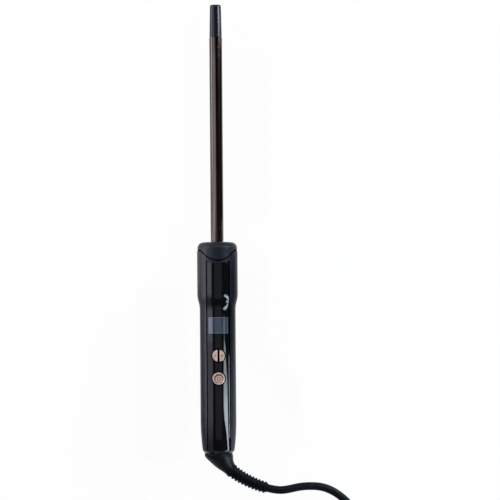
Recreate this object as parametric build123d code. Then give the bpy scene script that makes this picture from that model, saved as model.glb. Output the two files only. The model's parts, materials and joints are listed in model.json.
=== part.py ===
from build123d import *
import math
import os

# A slim curling wand that lies on the flat back of its handle, controls upwards.
# Millimetres. Y runs along the wand towards the tip, Z is up, and the origin is
# on the flat back, half way along the handle.

# Barrel and cool tip
barrel_d = 10.6
barrel_wall = 0.9
barrel_shown = 168.0
barrel_seated = 26.0
barrel_seat_step = 0.3
barrel_seat_shown = 0.5
tip_length = 26.8
tip_step = 0.2
tip_taper = 0.5
tip_edge_r = 1.6
tip_base_edge_r = 0.3
tip_gap = 0.5
tip_neck_step = 0.5
tip_plug_length = 9.0
tip_plug_fit = 0.05

# Heater inside the barrel
heater_length = 150.0
heater_width = 5.0
heater_thick = 1.2
heater_margin = 8.0
heater_fit = 0.05
clamp_fit = 0.08
sensor_d = 1.8
sensor_length = 4.0
sensor_gap = 0.2

# Handle outline: depths are below the nose end, heights above the tail end
handle_length = 173.6
head_d = 33.3
grip_d = 29.4
tail_d = 26.3
tail_end_d = 23.3
tail_chamfer = 1.9
tail_land = 0.5
tail_shoulder_r = 1.3
taper_height = 26.8
saddle_start_depth = 42.9
saddle_end_depth = 56.0
back_flat = 12.6
wall = 2.0
parting_groove = 0.3

# Nose cap and its wavy seam
nose_d = 32.6
nose_corner_r = 5.0
nose_crown = 0.5
nose_plate = 2.5
nose_wall = 2.6
nose_hole_gap = 0.25
seam_gap = 1.2
seam_groove = 0.45
seam_tongue = 0.4
seam_fit = 0.1
seam_side_depth = 6.5
seam_half_width = 14.2
seam_bowl_r = 14.5
seam_shoulder_r = 2.5
spigot_depth = 20.0
spigot_wall = 1.6
spigot_fit = 0.15

# Fascia panel and the pocket that it is bonded into
fascia_half_width = 9.7
fascia_thick = 1.8
fascia_gap = 0.12
fascia_top_depth = 17.4
fascia_top_rise = 1.8
fascia_rim = 0.8
fascia_rim_step = 1.2
bond_gap = 0.1
floor_thick = 1.5
floor_overlap = 1.9

# Display
display_depth = 68.5
display_width = 16.0
display_height = 13.4
lens_gap = 0.1
lens_ledge = 0.8
module_thick = 2.8
module_gap = 0.3
stand_inset = 0.5

# Buttons
button_d = 9.9
button_ring_gap = 0.95
button_proud = 0.45
button_edge_r = 0.45
button_travel = 0.5
button_fit = 0.1
button_flange = 1.3
button_flange_thick = 1.0
guide_wall = 1.5
guide_gap = 0.2
flange_gap = 0.43
rocker_depth = 93.4
rocker_slit = 2.0
rocker_web = 1.2
web_sink = 1.3
power_depth = 112.1
mark_depth = 0.25
mark_width = 0.45
mark_length = 2.2
mark_offset = 2.85
power_groove_r = 3.75
power_disc_r = 3.0
power_disc_right = 0.2
power_disc_down = 0.45
power_mark_r = 1.3

# Control board
board_side_gap = 2.1
board_thick = 1.6
board_margin = 0.5
board_tail = 10.0
board_parts_margin = 1.0
controller_depth = 86.0
power_parts_inset = 4.0
chip_size = 4.8
chip_height = 1.2
triac_height = 3.4
capacitor_d = 4.8
capacitor_height = 3.8
switch_size = 6.0
switch_height = 3.5
switch_spread = 3.15
plunger_d = 3.4
plunger_shown = 1.5
plunger_sunk = 1.0
plunger_fit = 0.1
plunger_spare = 0.5
board_screw_d = 2.0
board_screw_head_d = 3.8
board_screw_head = 1.4
board_screw_length = 8.0
board_post_d = 5.2
board_screw_depths = (81.0, 102.75)
screw_fit = 0.06

# Case screws
case_screw_d = 2.4
case_screw_head_d = 4.4
case_screw_head = 1.3
case_screw_sink = 0.4
case_screw_bite = 6.0
case_boss_d = 6.2
case_screw_depths = (56.5, 134.0)

# Barrel holder in the head
holder_d = 16.0
holder_fit = 0.05
holder_start_depth = 3.2
holder_lip = 1.6
flange_depth = 23.4
flange_thick = 3.0
flange_fit = 0.2
rib_thick = 1.6
rib_bore_d = 20.0
barrel_screw_d = 2.0
barrel_screw_depth = 14.0

# Leads inside the handle
heater_lead_d = 1.6
heater_lead_x = 1.6
sensor_lead_d = 0.9
sensor_lead_x = 0.6
sensor_z = 2.3
lead_boss_gap = 0.3
lead_gap = 0.4
supply_lead_d = 2.0
supply_lead_inset = 1.4
lead_straight = 4.0
lead_bend_share = 0.45

# Swivel in the tail
spindle_d = 12.0
spindle_fit = 0.06
spindle_bore_d = 6.4
spindle_below = 5.0
ring_sleeve = 9.6
clip_gap = 0.3
clip_thick = 1.0
clip_d = 16.0
clip_groove_d = 9.4
slip_seat_d = 8.0
slip_ring_d = 10.4
slip_ring_width = 3.0
slip_ring_pitch = 4.6
slip_ring_lead = 2.2
slip_fit = 0.05
brush_thick = 0.4
brush_width = 2.2
brush_gap = 0.12
brush_holder_thick = 2.55
brush_side_gap = 0.66

# Swivel elbow: centre to the right, drop below the tail end, radius, heading
elbow_gap = 0.5
elbow_stations = (
    (0.6, 3.8, 11.25, -89.0),
    (2.1, 6.2, 9.85, -85.2),
    (4.3, 8.9, 8.1, -76.5),
    (7.05, 11.65, 6.4, -63.6),
)
elbow_top_d = 22.8
elbow_edge = 0.5
elbow_end_x = 10.7
elbow_end_drop = 14.9
elbow_end_step = 0.25
elbow_heading = -37.7
core_d = 2.2
core_offset = 1.5
core_gap = 0.3

# Ribbed strain relief
rib_count = 11
rib_pitch = 2.95
rib_valley = 0.85
sleeve_start_wall = 1.4
sleeve_end_wall = 0.7
rib_flat_share = 0.4
relief_turn = 22.0
sleeve_fit = 0.05

# Cord
cord_d = 6.6
floor_gap = 0.1

# Free run from the end of the strain relief: straight lead, then right, forward, share of the drop
run_lead = 10.5
run_steps = (
    (21.1, -2.75, 0.12),
    (38.6, 1.3, 0.5),
    (56.1, -2.75, 0.85),
    (71.6, -15.35, 1.0),
    (82.6, -38.9, 1.0),
    (82.6, -64.9, 1.0),
)

# Put-away coil: two layers of turns, tied
coil_mean_r = 39.6
coil_layer_turns = 3
coil_turn_gap = 0.5
coil_steps = 4
tie_thick = 0.8
tie_width = 7.0
tie_gap = 0.5

# Tail of the cord from the coil to the plug: right, forward, and share of the drop
tail_steps = (
    (0.0, -14.0, 0.0),
    (3.0, -30.0, 1.0),
    (3.0, -44.0, 1.0),
)

# Flat two-pin plug
plug_width = 33.0
plug_thick = 13.6
plug_length = 35.0
plug_shoulder = 11.0
plug_neck_width = 14.0
plug_edge_r = 2.4
plug_corner_r = 3.0
pin_d = 4.0
pin_length = 19.0
pin_spacing = 18.6
pin_root = 6.0
pin_root_d = 3.4
pin_fit = 0.05
pin_edge_r = 0.8
plug_relief_length = 24.0
plug_relief_d = 11.0
plug_relief_lip = 0.8
plug_relief_ribs = 6
plug_rib_valley = 0.7

# Places worked out from the sizes above
axis_z = back_flat
nose_y = handle_length / 2
tail_y = -handle_length / 2
barrel_r = barrel_d / 2
barrel_bore_r = barrel_r - barrel_wall
barrel_seat_r = barrel_r - barrel_seat_step
tip_y = nose_y + barrel_shown
head_r = head_d / 2
ring_length = tail_chamfer + tail_land
shell_end_y = tail_y + ring_length
pocket_depth = fascia_thick + bond_gap
floor_inset = pocket_depth + floor_thick
floor_half_width = fascia_half_width + floor_overlap
button_r = button_d / 2
button_flange_r = button_r + button_flange
floor_r = grip_d / 2 - floor_inset
flange_top = axis_z + math.sqrt(floor_r**2 - button_flange_r**2) - flange_gap
guide_z = flange_top + guide_gap
flange_base = flange_top - button_flange_thick
board_half = floor_r - board_side_gap
board_top = flange_base - plunger_shown - switch_height
board_base = board_top - board_thick
board_start_depth = display_depth - display_height / 2 - board_margin
board_end_depth = power_depth + board_tail
board_mid_z = board_base + board_thick / 2
sensor_lead_end_x = case_boss_d / 2 + lead_boss_gap + sensor_lead_d / 2
heater_lead_end_x = sensor_lead_end_x + sensor_lead_d / 2 + lead_gap + heater_lead_d / 2
clip_y = tail_y + ring_length + ring_sleeve + clip_gap
slip_y = clip_y + clip_thick + slip_ring_lead
tail_room_r = min(grip_d, tail_d) / 2 - wall
brush_holder_drop = tail_room_r - brush_holder_thick
brush_reach = math.sqrt((tail_room_r - brush_side_gap) ** 2 - brush_holder_drop**2)
spindle_top_y = slip_y + slip_ring_pitch + slip_ring_width + slip_ring_lead / 2
sleeve_bore_r = cord_d / 2 + sleeve_fit
rib_start_r = sleeve_bore_r + sleeve_start_wall + rib_valley
rib_end_r = sleeve_bore_r + sleeve_end_wall + rib_valley
coil_pitch = cord_d + coil_turn_gap
coil_inner_r = coil_mean_r - coil_pitch * coil_layer_turns / 2
coil_outer_r = coil_mean_r + coil_pitch * coil_layer_turns / 2
coil_low_z = floor_gap + tie_thick + tie_gap + cord_d / 2
coil_high_z = coil_low_z + coil_pitch
plug_axis_z = floor_gap + plug_thick / 2
reach = 400.0


def below_nose(depth):
    return nose_y - depth


def block(x_span, y_span, z_span):
    size = [span[1] - span[0] for span in (x_span, y_span, z_span)]
    centre = [(span[0] + span[1]) / 2 for span in (x_span, y_span, z_span)]
    return Pos(*centre) * Box(*size)


def rod(radius, y_span, x=0.0, z=axis_z):
    length = y_span[1] - y_span[0]
    middle = (y_span[0] + y_span[1]) / 2
    return Pos(x, middle, z) * Rot(90, 0, 0) * Cylinder(radius, length)


def post(radius, x, y, z_span):
    length = z_span[1] - z_span[0]
    middle = (z_span[0] + z_span[1]) / 2
    return Pos(x, y, middle) * Cylinder(radius, length)


def slab(y_low, y_high):
    return block((-reach, reach), (y_low, y_high), (-reach, reach))


def above(z):
    return block((-reach, reach), (-reach, reach), (z, reach))


def upright(face, z_low=axis_z, z_high=axis_z + head_d):
    return Pos(0, 0, z_low) * extrude(face, z_high - z_low)


def turned(*edges):
    return Pos(0, 0, axis_z) * revolve(make_face(edges), axis=Axis.Y)


def ring(outer_r, inner_r, y_span):
    return rod(outer_r, y_span) - rod(inner_r, y_span)


# Handle body, turned about the wand's axis and set in from its surface
def handle_solid(inset):
    tail_r = tail_d / 2 - inset
    grip_r = grip_d / 2 - inset
    top_r = head_r - inset
    taper = (grip_r, tail_y + taper_height)
    low = (grip_r, below_nose(saddle_end_depth))
    high = (top_r, below_nose(saddle_start_depth))
    middle = ((low[0] + high[0]) / 2, (low[1] + high[1]) / 2)
    tail = (tail_r, shell_end_y)
    nose = (top_r, nose_y)
    return turned(
        Line((0, shell_end_y), tail),
        TangentArc(taper, tail, tangent=(0, -1)),
        Line(taper, low),
        TangentArc(low, middle, tangent=(0, 1)),
        TangentArc(high, middle, tangent=(0, -1)),
        Line(high, nose),
        Line(nose, (0, nose_y)),
        Line((0, nose_y), (0, shell_end_y)),
    )


# Everything on the tip's side of the wavy seam, moved down by a shift
def beyond_seam(shift):
    side_y = below_nose(seam_side_depth) - shift
    vee_y = side_y - seam_half_width
    wave = FilletPolyline(
        (-head_d, side_y),
        (-seam_half_width, side_y),
        (0, vee_y),
        (seam_half_width, side_y),
        (head_d, side_y),
        radius=[seam_shoulder_r, seam_bowl_r, seam_shoulder_r],
    )
    closing = Polyline((head_d, side_y), (head_d, reach), (-head_d, reach), (-head_d, side_y))
    return upright(make_face([wave, closing]), -head_d, axis_z + head_d)


# Plan of the fascia, grown for its pocket or drawn in for its raised face
def fascia_plan(side, end, low_y):
    top_y = below_nose(fascia_top_depth) + end
    corner_y = top_y + fascia_top_rise
    return make_face([
        ThreePointArc((-side, corner_y), (0, top_y), (side, corner_y)),
        Polyline((side, corner_y), (side, low_y), (-side, low_y), (-side, corner_y)),
    ])


def floor_zone(gap):
    side = floor_half_width + gap
    end_y = below_nose(fascia_top_depth - fascia_top_rise - floor_overlap) + gap
    return block((-side, side), (-reach, end_y), (axis_z, axis_z + head_d))


# Free room inside the joined shells, less a gap to their walls
def hollow(gap):
    room = handle_solid(wall + gap) & above(wall + gap)
    zone = floor_zone(gap)
    under_floor = handle_solid(floor_inset + gap) & zone
    return (room - zone) + under_floor


def holder_ribs():
    first = flange_depth - flange_fit
    second = flange_depth + flange_thick + flange_fit
    upper = slab(below_nose(first), below_nose(first - rib_thick))
    lower = slab(below_nose(second + rib_thick), below_nose(second))
    ribs = handle_solid(wall / 2) & above(wall / 2) & (upper + lower)
    return ribs - rod(rib_bore_d / 2, (tail_y, nose_y))


def parting_line():
    skin = handle_solid(0) - handle_solid(parting_groove)
    half = parting_groove / 2
    return skin & block((-reach, reach), (-reach, reach), (axis_z - half, axis_z + half))


# Room under the shells' skin for the nose cap's tongue, or the tongue itself with its fit
def tongue_zone(fit):
    zone = handle_solid(seam_groove + fit) & above(seam_groove + fit)
    return zone & beyond_seam(seam_gap + seam_tongue - fit)


def housing():
    outer = handle_solid(0) & above(0)
    shell = outer - hollow(0) - tongue_zone(0) + holder_ribs()
    return shell - beyond_seam(seam_gap) - parting_line()


def button_places():
    return (below_nose(rocker_depth), below_nose(power_depth))


def case_screw_top():
    return axis_z + grip_d / 2 - pocket_depth - case_screw_sink


def front_shell():
    shell = housing() & above(axis_z)
    plan = fascia_plan(fascia_half_width + fascia_gap, fascia_gap, tail_y)
    shell = shell - (upright(plan) - handle_solid(pocket_depth))
    inside = handle_solid(pocket_depth)
    guide_r = button_r + button_fit + guide_wall
    crest = axis_z + grip_d / 2
    for y in button_places():
        guide = post(guide_r, 0, y, (guide_z, crest)) & inside
        shell = shell + guide - post(button_r + button_fit, 0, y, (axis_z, crest))
    rocker_y = below_nose(rocker_depth)
    web_half = rocker_web / 2
    web_reach = button_r + (button_fit + button_ring_gap) / 2
    web_z = (guide_z, crest - web_sink)
    shell = shell + block((-web_half, web_half), (rocker_y - web_reach, rocker_y + web_reach), web_z)
    half_wide = display_width / 2 - lens_ledge
    half_high = display_height / 2 - lens_ledge
    display_y = below_nose(display_depth)
    opening_y = (display_y - half_high, display_y + half_high)
    shell = shell - block((-half_wide, half_wide), opening_y, (axis_z, axis_z + head_d))
    head_base = case_screw_top() - case_screw_head
    for depth in case_screw_depths:
        y = below_nose(depth)
        shell = shell + (post(case_boss_d / 2, 0, y, (axis_z, crest)) & inside)
        shell = shell - post(case_screw_d / 2 + screw_fit, 0, y, (axis_z, crest))
        shell = shell - post(case_screw_head_d / 2 + screw_fit, 0, y, (head_base, crest))
    return shell


def rear_shell():
    shell = housing() - above(axis_z)
    for depth in case_screw_depths:
        y = below_nose(depth)
        shell = shell + post(case_boss_d / 2, 0, y, (wall / 2, axis_z))
        bore_z = (axis_z - case_screw_bite - screw_fit, axis_z)
        shell = shell - post(case_screw_d / 2 + screw_fit, 0, y, bore_z)
    for depth in board_screw_depths:
        y = below_nose(depth)
        shell = shell + post(board_post_d / 2, 0, y, (wall / 2, board_base))
        bore_z = (board_top - board_screw_length - screw_fit, board_base)
        shell = shell - post(board_screw_d / 2 + screw_fit, 0, y, bore_z)
    return shell


def nose_cap():
    radius = nose_d / 2
    low_y = below_nose(spigot_depth)
    shoulder = (radius, nose_y - nose_crown - nose_corner_r)
    brow = (radius - nose_corner_r, nose_y - nose_crown)
    outer = turned(
        Line((0, low_y), (radius, low_y)),
        Line((radius, low_y), shoulder),
        TangentArc(shoulder, brow, tangent=(0, 1)),
        TangentArc((0, nose_y), brow, tangent=(1, 0)),
        Line((0, nose_y), (0, low_y)),
    )
    room = rod(radius - nose_wall, (low_y, nose_y - nose_crown - nose_plate)) & above(wall)
    cap = (outer & above(0) & beyond_seam(0)) - room
    sleeve = handle_solid(wall + spigot_fit) - handle_solid(wall + spigot_fit + spigot_wall)
    sleeve = sleeve & above(wall + spigot_fit) & slab(low_y, below_nose(nose_corner_r))
    tongue = tongue_zone(seam_fit) - handle_solid(wall + spigot_fit)
    cap = cap + (sleeve - floor_zone(spigot_fit)) + (tongue & slab(low_y, below_nose(nose_corner_r)))
    return cap - rod(barrel_r + nose_hole_gap, (low_y, nose_y + nose_crown))


def fascia_panel():
    low_y = shell_end_y + fascia_gap
    face_half = fascia_half_width - fascia_rim
    under = handle_solid(fascia_thick)
    raised = (upright(fascia_plan(face_half, -fascia_rim, low_y)) & handle_solid(0)) - under
    rim = (upright(fascia_plan(fascia_half_width, 0, low_y)) & handle_solid(fascia_rim_step)) - under
    panel = raised + rim
    panel = panel - display_window(0)
    for y in button_places():
        panel = panel - post(button_r + button_ring_gap, 0, y, (axis_z, axis_z + head_d))
    return panel


def display_window(gap):
    half_wide = display_width / 2 - gap
    half_high = display_height / 2 - gap
    y = below_nose(display_depth)
    return block((-half_wide, half_wide), (y - half_high, y + half_high), (axis_z, axis_z + head_d))


def display_lens():
    return (display_window(lens_gap) & handle_solid(0)) - handle_solid(fascia_thick)


def module_half_width():
    return display_width / 2 - lens_ledge - module_gap


def module_top():
    under_lens = grip_d / 2 - fascia_thick - module_gap
    return axis_z + math.sqrt(under_lens**2 - module_half_width() ** 2)


def display_block(inset, z_span):
    half_wide = module_half_width() - inset
    half_high = display_height / 2 - lens_ledge - module_gap - inset
    y = below_nose(display_depth)
    return block((-half_wide, half_wide), (y - half_high, y + half_high), z_span)


def display_module():
    return display_block(0, (module_top() - module_thick, module_top()))


def display_stand():
    return display_block(stand_inset, (board_top, module_top() - module_thick))


def button_blank(y):
    top = axis_z + grip_d / 2 + button_proud
    cap = post(button_r, 0, y, (flange_base, top))
    return cap + post(button_flange_r, 0, y, (flange_base, flange_top))


def soften_top(button):
    top_face = button.faces().sort_by(Axis.Z)[-1]
    return fillet(top_face.edges(), button_edge_r)


def mark_z():
    top = axis_z + grip_d / 2 + button_proud
    return (top - mark_depth, top + mark_depth)


def bar_mark(x, y, along_x):
    half_long = mark_length / 2
    half_thin = mark_width / 2
    if along_x:
        return block((x - half_long, x + half_long), (y - half_thin, y + half_thin), mark_z())
    return block((x - half_thin, x + half_thin), (y - half_long, y + half_long), mark_z())


def temp_button(side):
    y = below_nose(rocker_depth)
    span = (rocker_slit / 2, head_d) if side > 0 else (-head_d, -rocker_slit / 2)
    half = button_blank(y) & block(span, (y - head_d, y + head_d), (0, axis_z + head_d))
    half = soften_top(half) - bar_mark(side * mark_offset, y, True)
    if side > 0:
        half = half - bar_mark(side * mark_offset, y, False)
    return half


def power_sign(x, y):
    half = mark_width / 2
    circle = post(power_mark_r + half, x, y, mark_z()) - post(power_mark_r - half, x, y, mark_z())
    gate = block((x - mark_width, x + mark_width), (y, y + button_r), mark_z())
    stroke_y = (y + mark_width, y + mark_width + power_mark_r)
    return circle - gate + block((x - half, x + half), stroke_y, mark_z())


def power_button():
    y = below_nose(power_depth)
    disc_x = power_disc_right
    disc_y = y - power_disc_down
    groove = post(power_groove_r, 0, y, mark_z()) - post(power_disc_r, disc_x, disc_y, mark_z())
    return soften_top(button_blank(y)) - groove - power_sign(disc_x, disc_y)


def switch_places():
    rocker_y = below_nose(rocker_depth)
    power_y = below_nose(power_depth)
    return ((-switch_spread, rocker_y), (switch_spread, rocker_y), (0.0, power_y))


def tact_switches():
    half = switch_size / 2
    top = board_top + switch_height
    bore_depth = plunger_sunk + button_travel + plunger_spare
    switches = []
    for x, y in switch_places():
        body = block((x - half, x + half), (y - half, y + half), (board_top, top))
        bore = post(plunger_d / 2 + plunger_fit, x, y, (top - bore_depth, top))
        switches.append(body - bore)
    return Compound(switches)


def plunger(x, y):
    top = board_top + switch_height
    return post(plunger_d / 2, x, y, (top - plunger_sunk, flange_base))


def control_board():
    y_span = (below_nose(board_end_depth), below_nose(board_start_depth))
    board = block((-board_half, board_half), y_span, (board_base, board_top))
    for depth in board_screw_depths:
        hole = post(board_screw_d / 2 + screw_fit, 0, below_nose(depth), (board_base, board_top))
        board = board - hole
    return board


def board_parts():
    half = chip_size / 2
    chip_y = below_nose(controller_depth)
    power_y = below_nose(board_end_depth) + power_parts_inset
    middle = board_half - board_parts_margin - half
    chip_x = (middle - half, middle + half)
    triac_x = (-middle - half, -middle + half)
    controller = block(chip_x, (chip_y - half, chip_y + half), (board_top, board_top + chip_height))
    triac = block(triac_x, (power_y - half, power_y + half), (board_top, board_top + triac_height))
    capacitor_z = (board_top, board_top + capacitor_height)
    capacitor = post(capacitor_d / 2, middle, power_y, capacitor_z)
    return Compound([controller, capacitor, triac])


def screw(y, seat_z, shank_d, length, cap_d, cap_height):
    shank = post(shank_d / 2, 0, y, (seat_z - length, seat_z))
    cap = post(cap_d / 2, 0, y, (seat_z, seat_z + cap_height))
    recess = post(shank_d / 2, 0, y, (seat_z + cap_height / 2, seat_z + cap_height))
    return shank + cap - recess


def board_screws():
    sizes = (board_screw_d, board_screw_length - board_thick, board_screw_head_d, board_screw_head)
    return Compound([screw(below_nose(depth), board_top, *sizes) for depth in board_screw_depths])


def case_screws():
    seat = case_screw_top() - case_screw_head
    sizes = (case_screw_d, seat - axis_z + case_screw_bite, case_screw_head_d, case_screw_head)
    return Compound([screw(below_nose(depth), seat, *sizes) for depth in case_screw_depths])


# Barrel, tip and heater
def barrel_tube():
    step_y = nose_y + barrel_seat_shown
    seated = rod(barrel_seat_r, (below_nose(barrel_seated), step_y))
    shown = rod(barrel_r, (step_y, tip_y))
    bore = rod(barrel_bore_r, (below_nose(barrel_seated), tip_y))
    return seated + shown - bore - barrel_screw_holes()


def barrel_screw_holes():
    y = below_nose(barrel_screw_depth)
    hole = Rot(0, 90, 0) * Cylinder(barrel_screw_d / 2 + screw_fit, 2 * holder_d)
    return Pos(0, y, axis_z) * hole


def barrel_screws():
    y = below_nose(barrel_screw_depth)
    length = holder_d / 2 - barrel_bore_r
    middle = barrel_bore_r + length / 2
    pin = Rot(0, 90, 0) * Cylinder(barrel_screw_d / 2, length)
    return Compound([Pos(side * middle, y, axis_z) * pin for side in (-1, 1)])


def barrel_holder():
    end_depth = barrel_seated + holder_lip
    sleeve = rod(holder_d / 2, (below_nose(end_depth), below_nose(holder_start_depth)))
    flange_y = (below_nose(flange_depth + flange_thick), below_nose(flange_depth))
    flange = hollow(flange_fit) & slab(*flange_y)
    seat = rod(barrel_seat_r + holder_fit, (below_nose(barrel_seated), nose_y))
    throat = rod(barrel_bore_r, (below_nose(end_depth), nose_y))
    return sleeve + flange - seat - throat - barrel_screw_holes()


def cool_tip():
    base_y = tip_y + tip_gap
    end_y = tip_y + tip_length
    base_r = barrel_r - tip_step
    end_r = base_r - tip_taper
    cone = turned(
        Line((0, base_y), (base_r, base_y)),
        Line((base_r, base_y), (end_r, end_y)),
        Line((end_r, end_y), (0, end_y)),
        Line((0, end_y), (0, base_y)),
    )
    for end, radius in ((-1, tip_edge_r), (0, tip_base_edge_r)):
        rim = cone.edges().filter_by(GeomType.CIRCLE).sort_by(Axis.Y)[end]
        cone = fillet(rim, radius)
    neck = rod(base_r - tip_neck_step, (tip_y, base_y))
    plug = rod(barrel_bore_r - tip_plug_fit, (tip_y - tip_plug_length, tip_y))
    return cone + neck + plug


def heater_span():
    return (nose_y + heater_margin, nose_y + heater_margin + heater_length)


def heater_plate():
    half_wide = heater_width / 2
    half_thick = heater_thick / 2
    return block((-half_wide, half_wide), heater_span(), (axis_z - half_thick, axis_z + half_thick))


def heater_clamps():
    bar = rod(barrel_bore_r - clamp_fit, heater_span())
    split = heater_thick / 2 + heater_fit
    upper = bar & above(axis_z + split)
    lower = bar - above(axis_z - split)
    return Compound([upper, lower])


def sensor_y_span():
    high = nose_y + heater_margin - sensor_gap
    return (high - sensor_length, high)


def temperature_sensor():
    return rod(sensor_d / 2, sensor_y_span(), 0, axis_z + sensor_z)


# Round tubes on straight runs joined by arcs as large as the runs allow
def bend_radii(points):
    radii = []
    for before, corner, after in zip(points, points[1:], points[2:]):
        arriving = corner - before
        leaving = after - corner
        half_turn = math.radians(arriving.get_angle(leaving)) / 2
        shorter = min(arriving.length, leaving.length)
        radii.append(lead_bend_share * shorter / math.tan(half_turn))
    return radii


def tube(points, diameter):
    places = [Vector(*point) for point in points]
    path = FilletPolyline(*places, radius=bend_radii(places))
    return swept(path, diameter), path.length


def swept(path, diameter):
    start = Plane(origin=path @ 0, z_dir=path % 0)
    return sweep(start * Circle(diameter / 2), path=path)


def lead_pair(start, end, diameter):
    leads = []
    for side in (-1, 1):
        points = [
            (side * start[0], start[1], start[2]),
            (side * start[0], below_nose(barrel_seated + holder_lip + lead_straight), start[2]),
            (side * end[0], below_nose(saddle_end_depth - lead_straight), end[2]),
            (side * end[0], end[1], end[2]),
        ]
        leads.append(tube(points, diameter)[0])
    return Compound(leads)


def heater_leads():
    start = (heater_lead_x, heater_span()[0], axis_z)
    end = (heater_lead_end_x, below_nose(board_start_depth), board_mid_z)
    return lead_pair(start, end, heater_lead_d)


def sensor_leads():
    start = (sensor_lead_x, sensor_y_span()[0], axis_z + sensor_z)
    end = (sensor_lead_end_x, below_nose(board_start_depth), board_mid_z)
    return lead_pair(start, end, sensor_lead_d)


# Swivel in the tail of the handle
def tail_ring():
    collar = turned(
        Line((0, tail_y), (tail_end_d / 2, tail_y)),
        Line((tail_end_d / 2, tail_y), (tail_d / 2, tail_y + tail_chamfer)),
        Line((tail_d / 2, tail_y + tail_chamfer), (tail_d / 2, shell_end_y)),
        Line((tail_d / 2, shell_end_y), (0, shell_end_y)),
        Line((0, shell_end_y), (0, tail_y)),
    )
    shoulder = collar.edges().filter_by(GeomType.CIRCLE).sort_by(Axis.Y)[1]
    collar = fillet(shoulder, tail_shoulder_r)
    sleeve = hollow(spigot_fit) & slab(shell_end_y, shell_end_y + ring_sleeve)
    bore = rod(spindle_d / 2 + spindle_fit, (tail_y - tail_d, tail_y + handle_length / 2))
    return (collar & above(0)) + sleeve - bore


def spindle_base_y():
    return tail_y - elbow_gap - spindle_below


def swivel_spindle():
    waist = (clip_y - clip_gap / 2, clip_y + clip_thick + clip_gap / 2)
    neck = rod(spindle_d / 2, (spindle_base_y(), waist[0]))
    shoulder = rod(spindle_d / 2, (waist[1], slip_y - slip_fit))
    between = (slip_y + slip_ring_width + slip_fit, slip_y + slip_ring_pitch - slip_fit)
    divider = rod(slip_ring_d / 2 - brush_thick, between)
    core = rod(slip_seat_d / 2, (waist[1], spindle_top_y))
    spindle = neck + rod(clip_groove_d / 2, waist) + shoulder + core + divider
    return spindle - rod(spindle_bore_d / 2, (spindle_base_y(), spindle_top_y))


def swivel_clip():
    return ring(clip_d / 2, clip_groove_d / 2 + slip_fit, (clip_y, clip_y + clip_thick))


def slip_ring_starts():
    return (slip_y, slip_y + slip_ring_pitch)


def slip_rings():
    bore = slip_seat_d / 2 + slip_fit
    return Compound([ring(slip_ring_d / 2, bore, (y, y + slip_ring_width)) for y in slip_ring_starts()])


def brush_holder_span():
    low = slip_y - slip_ring_lead / 2
    return (low, slip_y + slip_ring_pitch + slip_ring_width + slip_ring_lead / 2)


def brush_holder():
    inset = wall + spigot_fit
    floor_block = block((-reach, reach), brush_holder_span(), (inset, axis_z - brush_holder_drop))
    return handle_solid(inset) & floor_block


def contact_brushes():
    foot_z = axis_z - brush_holder_drop
    rub_z = axis_z - slip_ring_d / 2 - brush_gap - brush_thick
    brushes = []
    for side, y in zip((1, -1), slip_ring_starts()):
        spine = [
            (side * brush_reach, foot_z),
            (side * brush_reach / 2, foot_z),
            (side * brush_thick, rub_z),
            (-side * brush_reach / 4, rub_z - brush_thick),
        ]
        upper = [(x, z + brush_thick) for x, z in spine]
        outline = make_face(Polyline(*spine, *reversed(upper), close=True))
        leaf = extrude(Plane.XZ * outline, brush_width / 2, both=True)
        brushes.append(Pos(0, y + slip_ring_width / 2, 0) * leaf)
    return Compound(brushes)


def supply_leads():
    foot_y = brush_holder_span()[1]
    board_y = below_nose(board_end_depth)
    board_x = board_half - supply_lead_inset
    foot_x = brush_reach / 2
    foot_z = axis_z - brush_holder_drop - supply_lead_d / 2 + spigot_fit
    leads = []
    for side in (-1, 1):
        points = [
            (side * board_x, board_y, board_mid_z),
            (side * board_x, board_y - lead_straight, board_mid_z),
            (side * foot_x, foot_y + lead_straight, foot_z),
            (side * foot_x, foot_y, foot_z),
        ]
        leads.append(tube(points, supply_lead_d)[0])
    return Compound(leads)


# Elbow and ribbed sleeve lie level with the wand's axis
def heading_vector(degrees):
    angle = math.radians(degrees)
    return Vector(math.cos(angle), math.sin(angle), 0)


def square_to(point, heading):
    return Plane(origin=point, x_dir=heading_vector(heading + 90), z_dir=heading_vector(heading))


def relief_length():
    return rib_count * rib_pitch


def relief_plane(distance):
    bend_r = relief_length() / math.radians(relief_turn)
    start = Vector(elbow_end_x, tail_y - elbow_end_drop, axis_z)
    centre = start + heading_vector(elbow_heading + 90) * bend_r
    heading = elbow_heading + relief_turn * distance / relief_length()
    return square_to(centre - heading_vector(heading + 90) * bend_r, heading)


def relief_path():
    places = [relief_plane(share * relief_length()).origin for share in (0, 0.5, 1)]
    return ThreePointArc(*places)


def chamber_corner():
    return Vector(0, tail_y - elbow_gap - spindle_below - spindle_bore_d / 4, axis_z)


def jacket_start():
    return relief_plane(0).origin - heading_vector(elbow_heading) * cord_d / 2


def elbow_chamber():
    corner = chamber_corner()
    far = jacket_start()
    radius = spindle_bore_d / 2
    along = Plane(origin=(corner + far) / 2, z_dir=far - corner)
    passage = along * Cylinder(radius, (far - corner).length)
    down = rod(radius, (corner.Y, spindle_base_y()))
    jacket_way = Plane(origin=far, z_dir=heading_vector(elbow_heading))
    jacket = jacket_way * Cylinder(sleeve_bore_r, 2 * cord_d)
    return passage + down + Pos(*corner) * Sphere(radius) + jacket


def swivel_elbow():
    top_y = tail_y - elbow_gap
    sections = [square_to((0, top_y, axis_z), -90) * Circle(elbow_top_d / 2)]
    for x, drop, radius, heading in elbow_stations:
        sections.append(square_to((x, tail_y - drop, axis_z), heading) * Circle(radius))
    sections.append(relief_plane(0) * Circle(rib_start_r + elbow_end_step))
    boot = loft(sections)
    rim = boot.faces().sort_by(Axis.Y)[-1].edges()
    boot = fillet(rim, elbow_edge)
    socket = rod(spindle_d / 2 + slip_fit, (spindle_base_y() - slip_fit, top_y))
    return boot - socket - elbow_chamber()


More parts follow.
